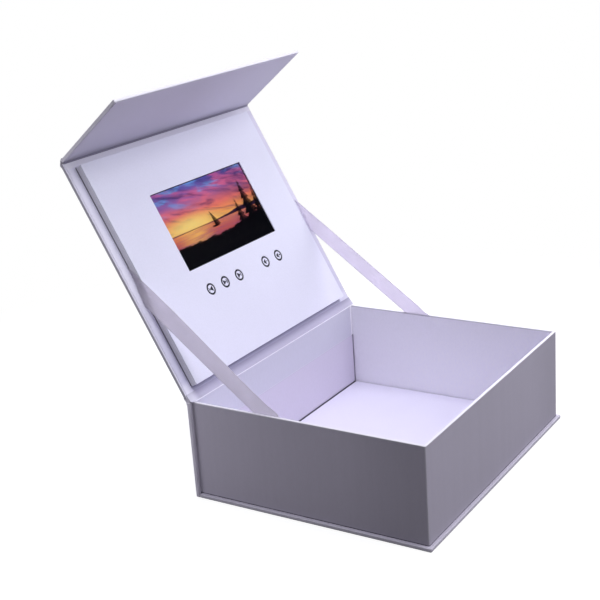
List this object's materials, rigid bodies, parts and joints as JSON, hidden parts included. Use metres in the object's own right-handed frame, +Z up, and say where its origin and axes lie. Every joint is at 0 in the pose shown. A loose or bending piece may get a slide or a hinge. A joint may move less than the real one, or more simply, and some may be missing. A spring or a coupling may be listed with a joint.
{
  "type": "lcd video brochure box",
  "caption": "Rigid card presentation box whose hinged lid stands open on two ribbons and holds a flat video screen with control buttons, with a hinged front flap.",
  "frame": {"origin": "centre of the base board's underside, below the middle of the tray", "axes": "+X to the right seen from the front, +Y to the back where the lid is hinged, +Z up"},
  "size_m": [0.215, 0.2591, 0.2664],
  "materials": {
    "wrapped_board": "matte paper wrap over greyboard",
    "hinge_paper": "matte wrap paper",
    "lining_paper": "matte lining paper",
    "floor_card": "matte paper over board",
    "magnet": "nickel-plated magnet",
    "ribbon": "satin-edged grosgrain ribbon",
    "module_board": "matte paper over board",
    "face_print": "matte printed card",
    "screen_film": "clear cover film",
    "screen_picture": "lit picture behind glass",
    "screen_metal": "stamped metal tray",
    "foam_pad": "closed-cell foam",
    "flex_film": "amber polyimide film",
    "connector_plastic": "moulded connector plastic",
    "circuit": "green solder mask",
    "chip": "moulded chip package",
    "usb_metal": "plated steel shell",
    "battery_foil": "pouch cell foil",
    "speaker_black": "paper cone in a plastic basket",
    "reed_glass": "sealed glass tube",
    "lead_sleeve": "insulated twin lead",
    "button_print": "printed card disc over a plastic stem"
  },
  "bodies": {
    "case": {"base_board": "wrapped_board", "spine_board": "wrapped_board", "spine_crease": "hinge_paper", "left_wall": "wrapped_board", "right_wall": "wrapped_board", "front_wall": "wrapped_board", "back_wall": "wrapped_board", "left_lining": "lining_paper", "right_lining": "lining_paper", "front_lining": "lining_paper", "back_lining": "lining_paper", "floor_panel": "floor_card", "wall_magnet_left": "magnet", "wall_magnet_right": "magnet", "trigger_magnet": "magnet", "left_ribbon": "ribbon", "right_ribbon": "ribbon", "lid_hinge_wrap": "hinge_paper", "lid_hinge_lining": "lining_paper"},
    "lid": {"lid_board": "wrapped_board", "lid_liner": "lining_paper", "module_frame": "module_board", "face_card": "face_print", "window_film": "screen_film", "screen_glass": "screen_picture", "screen_panel": "screen_metal", "screen_pad": "foam_pad", "screen_flex": "flex_film", "flex_connector": "connector_plastic", "circuit_board": "circuit", "board_pads": "foam_pad", "processor_chip": "chip", "memory_chip": "chip", "charge_board": "circuit", "usb_socket": "usb_metal", "battery": "battery_foil", "speaker": "speaker_black", "reed_switch": "reed_glass", "battery_lead": "lead_sleeve", "speaker_lead": "lead_sleeve", "charge_lead": "lead_sleeve", "reed_lead": "lead_sleeve", "flap_hinge_wrap": "hinge_paper", "flap_hinge_lining": "lining_paper", "previous_switch": "connector_plastic", "play_switch": "connector_plastic", "next_switch": "connector_plastic", "volume_down_switch": "connector_plastic", "volume_up_switch": "connector_plastic"},
    "flap": {"flap_board": "wrapped_board", "flap_liner": "lining_paper", "flap_magnet_left": "magnet", "flap_magnet_right": "magnet"},
    "previous_button": {"previous_button": "button_print"},
    "play_button": {"play_button": "button_print"},
    "next_button": {"next_button": "button_print"},
    "volume_down_button": {"volume_down_button": "button_print"},
    "volume_up_button": {"volume_up_button": "button_print"}
  },
  "joints": [
    {"name": "lid_hinge", "type": "hinge", "parent": "case", "child": "lid", "pos_m": [0, 0.0875, 0.0704], "axis": [1, 0, 0], "range_deg": [0, 118.6], "deforming": ["left_ribbon", "right_ribbon", "lid_hinge_wrap", "lid_hinge_lining"]},
    {"name": "flap_hinge", "type": "hinge", "parent": "lid", "child": "flap", "pos_m": [0, 0.17046, 0.22381], "axis": [1, 0, 0], "range_deg": [-79.7, 10.3], "deforming": ["flap_hinge_wrap", "flap_hinge_lining"]},
    {"name": "previous_press", "type": "slide", "parent": "lid", "child": "previous_button", "axis": [0, 0.878, -0.4787], "range_m": [0, 0.0003], "stiffness_N_per_m": 600},
    {"name": "play_press", "type": "slide", "parent": "lid", "child": "play_button", "axis": [0, 0.878, -0.4787], "range_m": [0, 0.0003], "stiffness_N_per_m": 600},
    {"name": "next_press", "type": "slide", "parent": "lid", "child": "next_button", "axis": [0, 0.878, -0.4787], "range_m": [0, 0.0003], "stiffness_N_per_m": 600},
    {"name": "volume_down_press", "type": "slide", "parent": "lid", "child": "volume_down_button", "axis": [0, 0.878, -0.4787], "range_m": [0, 0.0003], "stiffness_N_per_m": 600},
    {"name": "volume_up_press", "type": "slide", "parent": "lid", "child": "volume_up_button", "axis": [0, 0.878, -0.4787], "range_m": [0, 0.0003], "stiffness_N_per_m": 600}
  ]
}
